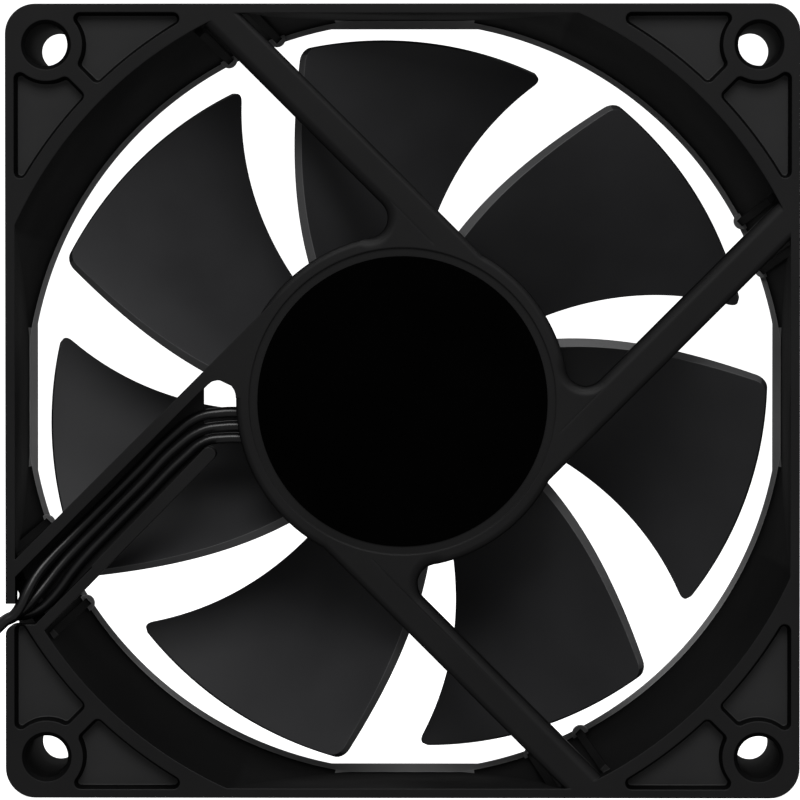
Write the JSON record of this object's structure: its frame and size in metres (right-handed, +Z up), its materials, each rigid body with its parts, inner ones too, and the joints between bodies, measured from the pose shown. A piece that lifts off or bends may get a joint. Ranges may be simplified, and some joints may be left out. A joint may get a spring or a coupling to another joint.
{
  "type": "axial case fan",
  "caption": "Square axial case fan with a flared duct, swept blades on a brushless hub motor, offset struts with a lead channel, and a coiled three wire lead with a plug.",
  "frame": {"origin": "centre of the frame's lower side, on the surface the fan stands on", "axes": "+Y along the fan's axis against the airflow, from the exhaust face to the intake face; +X to the right as seen looking at the exhaust face; +Z up"},
  "size_m": [0.1269, 0.0374, 0.092],
  "materials": {
    "black_plastic": "fine spark-eroded texture, semi-matt",
    "blade_plastic": "smooth moulded, satin",
    "label_film": "plain matt black film",
    "black_rubber": "matt",
    "brass_tube": "turned",
    "sintered_bronze": "porous, oily",
    "white_nylon": "natural",
    "bright_steel": "ground",
    "dull_steel": "drawn sheet",
    "ferrite": "bonded ferrite",
    "core_steel": "stacked sheets, varnished",
    "copper_wire": "enamelled copper",
    "board_resin": "solder mask",
    "black_resin": "moulded epoxy",
    "ceramic": "fired",
    "solder": "bright",
    "wire_sleeve": "smooth PVC",
    "tie_nylon": "satin nylon",
    "connector_plastic": "satin nylon",
    "tin_contact": "tin plated"
  },
  "bodies": {
    "frame": {"frame_housing": "black_plastic", "label_disc": "label_film", "dust_cap": "black_rubber", "bearing_tube": "brass_tube", "sleeve_bearing": "sintered_bronze", "thrust_washer": "white_nylon", "stator_core": "core_steel", "insulator_upper": "white_nylon", "insulator_lower": "white_nylon", "coil_winding_1": "copper_wire", "coil_winding_2": "copper_wire", "coil_winding_3": "copper_wire", "coil_winding_4": "copper_wire", "circuit_board": "board_resin", "hall_driver_ic": "black_resin", "filter_capacitor": "ceramic", "chip_resistor": "ceramic", "solder_joint_1": "solder", "solder_joint_2": "solder", "solder_joint_3": "solder", "wire_lead_1": "wire_sleeve", "wire_lead_2": "wire_sleeve", "wire_lead_3": "wire_sleeve", "wire_tail_1": "wire_sleeve", "wire_tail_2": "wire_sleeve", "wire_tail_3": "wire_sleeve", "wire_coil": "wire_sleeve", "coil_tie": "tie_nylon", "connector_housing": "connector_plastic", "connector_contact_1": "tin_contact", "connector_contact_2": "tin_contact", "connector_contact_3": "tin_contact"},
    "rotor": {"impeller": "blade_plastic", "yoke_cup": "dull_steel", "magnet_ring": "ferrite", "shaft": "bright_steel", "shaft_bush": "brass_tube", "oil_ring": "white_nylon", "retaining_clip": "white_nylon"}
  },
  "joints": [
    {"name": "rotor_spin", "type": "hinge", "parent": "frame", "child": "rotor", "pos_m": [0, 0, 0.046], "axis": [0, 1, 0], "continuous": true}
  ]
}
